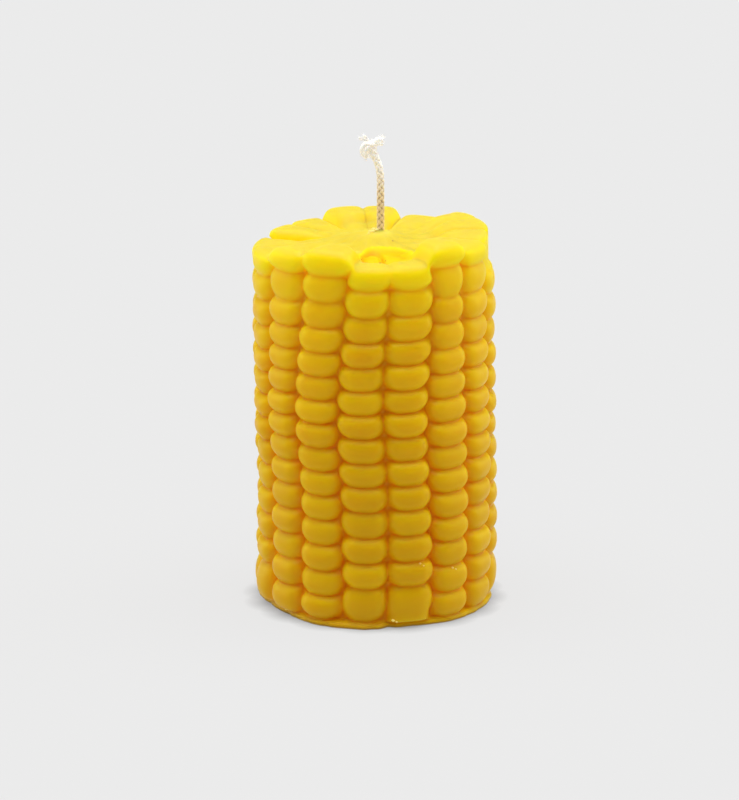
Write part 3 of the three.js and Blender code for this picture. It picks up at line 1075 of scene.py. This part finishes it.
def braid_place(yarn, place, turn, spread):
    """A point on a yarn of the braid, and the same point on the yarn laid straight."""
    way = 1 if yarn % 2 == 0 else -1
    angle = way * 2 * math.pi * place / BRAID_LEAD + math.pi / 2 * (yarn // 2) + math.pi / 8
    centre, direction, across, back = cross_section(wick_path, place)
    out = across * math.cos(angle) + back * math.sin(angle)
    round_way = back * math.cos(angle) - across * math.sin(angle)
    slope = way * 2 * math.pi * BRAID_MIDDLE / BRAID_LEAD
    yarn_way = (direction + round_way * slope).normalized()
    width_way = yarn_way.cross(out)
    near_tip = fade(wick_length - OPENING_START, wick_length - OPENING_END, place)
    opened = 1 + BRAID_OPENING * near_tip
    middle = BRAID_MIDDLE * opened + way * BRAID_WAVE * math.cos(math.pi * place / BRAID_STEP)
    outward = middle + spread * YARN_THICKNESS * math.cos(turn)
    point = centre + out * outward
    point += width_way * spread * YARN_WIDTH * math.sin(turn)
    twisted = turn + YARN_TWIST * place
    along_yarn = place * STREAK_STRETCH + STREAKS_APART * yarn
    straight = Vector((math.cos(twisted), math.sin(twisted), along_yarn))
    return straight, fade(*RAISED_ZONE, outward / opened), point


yarns = new_yarns()
rings = round(wick_length / YARN_RING_STEP)
for yarn in range(YARN_COUNT):
    lay_tube(yarns, rings, YARN_SIDES, lambda ring, turn, spread: braid_place(
        yarn, wick_length * ring / (rings - 1), turn, spread))


def core_place(ring, turn, spread):
    place = mix(CORE_INSETS[0], wick_length - CORE_INSETS[1], ring / (CORE_RINGS - 1))
    centre, _, across, back = cross_section(wick_path, place)
    out = across * math.cos(turn) + back * math.sin(turn)
    straight = Vector((math.cos(turn), math.sin(turn), place * STREAK_STRETCH))
    return straight, 0.0, centre + out * spread * CORE_RADIUS


lay_tube(yarns, CORE_RINGS, CORE_SIDES, core_place)

# %% [markdown]
# ## The frayed tip
# At the tip the yarns open into locks of loose fibre. Each lock has a soft body, which is a
# thick strand that thins towards its end, and a few dozen fine fibres that leave it at random.
# One lock droops to the left, a thick one points right, and two thin ones stand up.

# %% Locks of fibre
LOCKS = [
    {"points": [(-0.9, 0, 106.4), (-1.9, -0.3, 107.3), (-2.8, -0.5, 106.5), (-2.9, -0.5, 105.4),
                (-1.9, -0.5, 104.1)], "root": 0.85, "tip": 0.5, "fibres": 30},
    {"points": [(-0.9, -0.3, 106.4), (-1.7, -0.6, 106.3), (-2.1, -0.7, 105.3), (-1.8, -0.6, 104.2)],
     "root": 0.8, "tip": 0.4, "fibres": 16},
    {"points": [(-0.9, 0, 106.2), (-1.6, 0, 108.0), (-2.7, -0.1, 109.4)],
     "root": 0.5, "tip": 0.2, "fibres": 14},
    {"points": [(-0.9, 0, 106.2), (-2.1, 0.1, 107.9), (-3.8, 0.2, 108.6)],
     "root": 0.5, "tip": 0.2, "fibres": 14},
    {"points": [(-0.7, 0, 106.2), (0.2, 0.1, 107.7), (1.1, 0.1, 108.1), (1.8, 0, 107.9)],
     "root": 0.9, "tip": 0.9, "fibres": 26},
    {"points": [(-0.8, 0, 106.0), (0.1, -0.2, 107.0), (1, -0.4, 107.4), (1.8, -0.5, 107.2)],
     "root": 0.6, "tip": 0.4, "fibres": 14},
    {"points": [(-0.8, 0, 106.2), (-0.9, 0.9, 107.4), (-0.5, 1.8, 107.7)],
     "root": 0.6, "tip": 0.25, "fibres": 12},
    {"points": [(-0.8, 0, 106.2), (-0.9, -0.8, 107.4), (-0.8, -1.3, 107.0)],
     "root": 0.7, "tip": 0.3, "fibres": 12},
]
# A lock's body fills this share of its spread.
LOCK_FILL = 0.8
LOCK_RINGS = 14
LOCK_SIDES = 10
FIBRE_RADIUS = 0.055
FIBRE_RINGS = 9
FIBRE_SIDES = 5
FIBRE_TAPER = 0.5
# How far a fibre runs along its lock, and by how much that varies.
FIBRE_REACH = 0.95
REACH_CHANGE = 0.12
# A fibre strays by up to this many times its lock's spread at SPREAD_PLACE, and lengthways by
# up to STRAY_ALONG. The stray grows towards the free end by a power.
FIBRE_STRAY = 1.5
SPREAD_PLACE = 0.6
STRAY_ALONG = 0.5
STRAY_POWER = 1.5
# Locks and their fibres start this far along their paths.
STRAND_START = 0.1
# Where the locks' streaks start in the pattern, and how far apart they are.
FIRST_LOCK_STREAKS = 200
LOCK_STREAKS_APART = 40


def strand_place(path, reach, radius_at, wander, mark):
    """Places a strand along a path that strays by wander towards its free end."""
    length = path[1][-1]

    def place_of(ring, turn, spread):
        share = ring / (FIBRE_RINGS - 1 if reach else LOCK_RINGS - 1)
        stretch = mix(STRAND_START, reach or 1.0, share)
        centre, direction, across, back = cross_section(path, stretch * length)
        out = across * math.cos(turn) + back * math.sin(turn)
        stray = across * wander[0] + back * wander[1] + direction * wander[2]
        point = centre + stray * share ** STRAY_POWER + out * spread * radius_at(share)
        along_strand = mark + share * length * STREAK_STRETCH
        return Vector((math.cos(turn), math.sin(turn), along_strand)), 1.0, point

    return place_of


def add_lock(bm, lock, mark):
    path = smooth_path(lock["points"], 8)
    lay_tube(bm, LOCK_RINGS, LOCK_SIDES, strand_place(
        path, None, lambda share: mix(lock["root"], lock["tip"], share) * LOCK_FILL,
        (0, 0, 0), mark))
    for fibre in range(lock["fibres"]):
        size = mix(lock["root"], lock["tip"], SPREAD_PLACE) * FIBRE_STRAY
        wander = (draws.next() * size, draws.next() * size, draws.next() * STRAY_ALONG)
        reach = FIBRE_REACH + REACH_CHANGE * draws.next()
        lay_tube(bm, FIBRE_RINGS, FIBRE_SIDES, strand_place(
            path, reach, lambda share: FIBRE_RADIUS * (1 - FIBRE_TAPER * share),
            wander, mark + fibre))


for number, lock in enumerate(LOCKS):
    add_lock(yarns, lock, FIRST_LOCK_STREAKS + LOCK_STREAKS_APART * number)
print("yarns and locks", len(yarns.verts), "vertices")

# %% [markdown]
# ## Cotton
# The lower part of the wick soaked up wax and is beige and a little shiny, and the tip is dry
# The colour follows the height, and fibre streaks follow each yarn, because the mesh carries
# where every point was while the yarn was straight. Where a yarn sinks between its neighbours,
# and on the core inside, painted shade browns it, less so at the dry tip, and the cotton glows a
# little with painted light.

# %% Cotton material
WAXED_BEIGE = (0.84, 0.66, 0.40)
DRY_WHITE = (0.95, 0.92, 0.86)
STREAK_AND_GAP_SHADE_BROWN = (0.38, 0.24, 0.10)
# Heights between which the wax in the cotton runs out.
DRYING_ZONE = (91 * MM, 104.5 * MM)
# Painted light: the cotton glows a little in its own colour.
COTTON_GLOW = 0.16

cotton, tree, shader, coordinates = new_material("Cotton")
straight = add_attribute(tree, "yarn").outputs["Vector"]
streaks = add_noise(tree, straight, 3.2, 3, 0.6)
dryness = add_range(tree, add_height(tree, coordinates), *DRYING_ZONE, 0, 1)
plain = add_mix(tree, dryness, WAXED_BEIGE, DRY_WHITE)
dark_streak = add_range(tree, streaks, 0.5, 0.75, 0, 0.25)
# Painted shade where a yarn sinks between its neighbours and on the core.
in_gap = add_range(tree, add_attribute(tree, "raised").outputs["Fac"], 0, 1, 1, 0)
shade = add_math(tree, "MAXIMUM", dark_streak, in_gap)
damp_shade = add_math(tree, "MULTIPLY", shade, add_range(tree, dryness, 0, 1, 1, 0.08))
cotton_colour = add_mix(tree, damp_shade, plain, STREAK_AND_GAP_SHADE_BROWN)
tree.links.new(cotton_colour, shader.inputs["Base Color"])
tree.links.new(add_range(tree, dryness, 0, 1, 0.5, 0.95), shader.inputs["Roughness"])
tree.links.new(cotton_colour, shader.inputs["Emission Color"])
shader.inputs["Emission Strength"].default_value = COTTON_GLOW
shader.inputs["Subsurface Weight"].default_value = 0.4
shader.inputs["Subsurface Radius"].default_value = (1.0, 0.8, 0.6)
shader.inputs["Subsurface Scale"].default_value = 0.4 * MM
add_bump(tree, shader, streaks, 0.05 * MM, 0.8)
finish_piece(yarns, "wick_braid", cotton, ["wick"])

# %% [markdown]
# ## Crumbs and specks
# A few crumbs of wax are left beside the wick, pale balls on the lower kernels and the foot
# stand in for glints and bright edges as painted highlights, and small brown specks lie on the
# top and round the hollow. Each is a squashed ball that sits half sunk in the surface, which is
# found with a ray. The crumbs on the top are painted paler, and glow a little, to lift the shade
# they lie in.

# %% Crumbs and specks
CRUMBS = [
    (-0.3, 0.2, 0.6), (-0.4, -0.9, 0.5), (-1.1, -0.3, 0.45), (0.4, -0.9, 0.45), (-1.4, -1.4, 0.3),
    (-9.5, -9.5, 0.4), (-8.2, -10.4, 0.55),
]
# Angle from the front, height and radius of the pale balls that stand in for glints, as painted
# highlights, on the kernels and the foot.
SIDE_GLINTS = [
    (22, 15.2, 0.3), (23.5, 14.7, 0.22), (40.5, 12.8, 0.3), (42, 12.4, 0.22), (8.8, 2.1, 0.4),
    (10.4, 1.8, 0.3), (-52, 1.3, 0.4), (-51, 1.6, 0.3),
]
SPECKS = [
    (4.0, -5.1, 0.26), (-2.8, -18.5, 0.26), (-2.0, -21.2, 0.28), (1.1, -21.6, 0.3),
    (2.1, -20.2, 0.22), (-3.2, -16.0, 0.2), (2.4, -15.6, 0.22), (18.6, 9.5, 0.2),
]


# Rays start this far above the floor, or this far out from the middle.
RAY_HEIGHT = 120
RAY_REACH = 50
# How much a ball's radius varies, and how fine its lumps are for its radius.
BALL_ROUGHNESS = 0.35
BALL_LUMPS = 1.4
# Height of a ball for its width.
CRUMB_SQUASH = 0.6
GLINT_SQUASH = 0.8
SPECK_SQUASH = 0.4
# Crumbs lie this share of their radius above the surface.
CRUMB_LIFT = 0.1


def surface_height(x, y):
    """Height of the top of the finished body under a point."""
    _, place, _, _ = wax_cob.ray_cast((x * MM, y * MM, RAY_HEIGHT * MM), (0, 0, -1))
    return place.z / MM


def side_place(angle, height):
    """Point on the side of the finished body at an angle from the front and a height."""
    outward = Vector((math.sin(angle * RADIANS), -math.cos(angle * RADIANS), 0))
    start = outward * (RAY_REACH * MM) + Vector((0, 0, height * MM))
    _, place, _, _ = wax_cob.ray_cast(start, -outward)
    return place / MM


def add_ball(bm, place, radius, squash):
    made = bmesh.ops.create_icosphere(bm, subdivisions=2, radius=radius)["verts"]
    for vertex in made:
        lumps = noise.noise(vertex.co * (BALL_LUMPS / radius) + Vector(place))
        vertex.co *= 1 + BALL_ROUGHNESS * lumps
        vertex.co.z *= squash
    bmesh.ops.translate(bm, verts=made, vec=place)


# Colours of the painted glints on the side, of the crumbs on the top, which are painted paler to
# lift the shade they lie in, of the patches on both and of the specks.
GLINT_GOLD = (0.80, 0.52, 0.03)
CRUMB_CREAM = (0.98, 0.88, 0.40)
CRUMB_PATCH = (0.90, 0.72, 0.14)
# Painted light: the crumbs and glints glow a little.
CRUMB_LIGHT = (1.0, 0.80, 0.35)
CRUMB_GLOW = 0.15
CREAM_ZONE = (60 * MM, 80 * MM)
SPECK_DARK = (0.20, 0.07, 0.015)
SPECK_BROWN = (0.42, 0.18, 0.03)

crumbs = bmesh.new()
for x, y, radius in CRUMBS:
    add_ball(crumbs, (x, y, surface_height(x, y) + CRUMB_LIFT * radius), radius, CRUMB_SQUASH)
for angle, height, radius in SIDE_GLINTS:
    add_ball(crumbs, side_place(angle, height), radius, GLINT_SQUASH)
pale_wax, tree, shader, coordinates = new_material("Wax crumb")
patches = use_group(tree, cloud_group, coordinates, Size=500.0)
on_top = add_range(tree, add_height(tree, coordinates), *CREAM_ZONE, 0, 1)
crumb_and_glint_colour = add_mix(tree, on_top, GLINT_GOLD, CRUMB_CREAM)
tree.links.new(add_mix(tree, patches, crumb_and_glint_colour, CRUMB_PATCH), shader.inputs["Base Color"])
shader.inputs["Roughness"].default_value = 0.45
shader.inputs["Emission Color"].default_value = (*CRUMB_LIGHT, 1)
shader.inputs["Emission Strength"].default_value = CRUMB_GLOW
finish_piece(crumbs, "wax_crumbs", pale_wax)

soot, tree, shader, coordinates = new_material("Brown speck")
patches = use_group(tree, cloud_group, coordinates, Size=900.0)
tree.links.new(add_mix(tree, patches, SPECK_DARK, SPECK_BROWN), shader.inputs["Base Color"])
shader.inputs["Roughness"].default_value = 0.6
specks = bmesh.new()
for x, y, radius in SPECKS:
    add_ball(specks, (x, y, surface_height(x, y)), radius, SPECK_SQUASH)
finish_piece(specks, "brown_specks", soot)

# %% [markdown]
# ## Floor, light and camera
# The candle stands on a plain pale floor that fills the view. The floor glows evenly, like a
# light table, and a painted contact shadow, taken from the occlusion right beside what stands on
# it, dims it only there. One very soft light comes from above and a weaker one from each side,
# and an even sky fills in. The camera has a long lens and looks down a little.

# %% Floor
FLOOR_REACH = 3.0
FLOOR_GREY = (0.07, 0.07, 0.07)
FLOOR_GLOW = 0.73
CONTACT_SHADE = (0.3, 0.3, 0.3)
CONTACT_REACH = 4.5 * MM
floor_mesh = bpy.data.meshes.new("floor")
floor_bm = bmesh.new()
bmesh.ops.create_grid(floor_bm, x_segments=1, y_segments=1, size=FLOOR_REACH)
floor_bm.to_mesh(floor_mesh)
floor_bm.free()
floor = bpy.data.objects.new("floor", floor_mesh)
bpy.context.scene.collection.objects.link(floor)
floor_paint, tree, shader, coordinates = new_material("Pale floor")
shader.inputs["Base Color"].default_value = (*FLOOR_GREY, 1)
shader.inputs["Roughness"].default_value = 0.9
shader.inputs["Specular IOR Level"].default_value = 0.0
# Painted contact shadow: the floor's glow is darkened by ambient occlusion.
nearby = tree.nodes.new("ShaderNodeAmbientOcclusion")
nearby.inputs["Distance"].default_value = CONTACT_REACH
tree.links.new(add_mix(tree, nearby.outputs["AO"], CONTACT_SHADE, (1.0, 1.0, 1.0)),
               shader.inputs["Emission Color"])
shader.inputs["Emission Strength"].default_value = FLOOR_GLOW
floor_mesh.materials.append(floor_paint)

# %% Light
SKY_STRENGTH = 0.10
# Strength, spread and (tilt, turn) of each soft light, in degrees.
SOFT_LIGHTS = {
    "overhead": (3.6, 70, (2, 0)),
    "left side": (1.25, 60, (78, -103)),
    "right side": (1.35, 60, (78, 103)),
}

world = bpy.data.worlds.new("Studio")
world.use_nodes = True
background = world.node_tree.nodes["Background"]
background.inputs["Color"].default_value = (1, 1, 1, 1)
background.inputs["Strength"].default_value = SKY_STRENGTH
bpy.context.scene.world = world
for label, (strength, spread, (tilt, turn)) in SOFT_LIGHTS.items():
    light_data = bpy.data.lights.new(label, "SUN")
    light_data.energy = strength
    light_data.angle = spread * RADIANS
    light = bpy.data.objects.new(label, light_data)
    light.rotation_euler = (tilt * RADIANS, 0, turn * RADIANS)
    bpy.context.scene.collection.objects.link(light)
bpy.context.scene.view_settings.view_transform = "Standard"

# %% Camera
CAMERA_DISTANCE = 1.2
CAMERA_ELEVATION = 15 * RADIANS
CAMERA_AIM = Vector((-1.27, 0, 46.9)) * MM
LENS = 234.4

camera_data = bpy.data.cameras.new("camera")
camera_data.lens = LENS
camera_data.sensor_width = 36
camera_data.clip_end = 20
camera = bpy.data.objects.new("camera", camera_data)
back = Vector((0, -math.cos(CAMERA_ELEVATION), math.sin(CAMERA_ELEVATION)))
camera.location = CAMERA_AIM + back * CAMERA_DISTANCE
camera.rotation_euler = (math.pi / 2 - CAMERA_ELEVATION, 0, 0)
bpy.context.scene.collection.objects.link(camera)
bpy.context.scene.camera = camera
print("camera at", [round(value, 3) for value in camera.location])
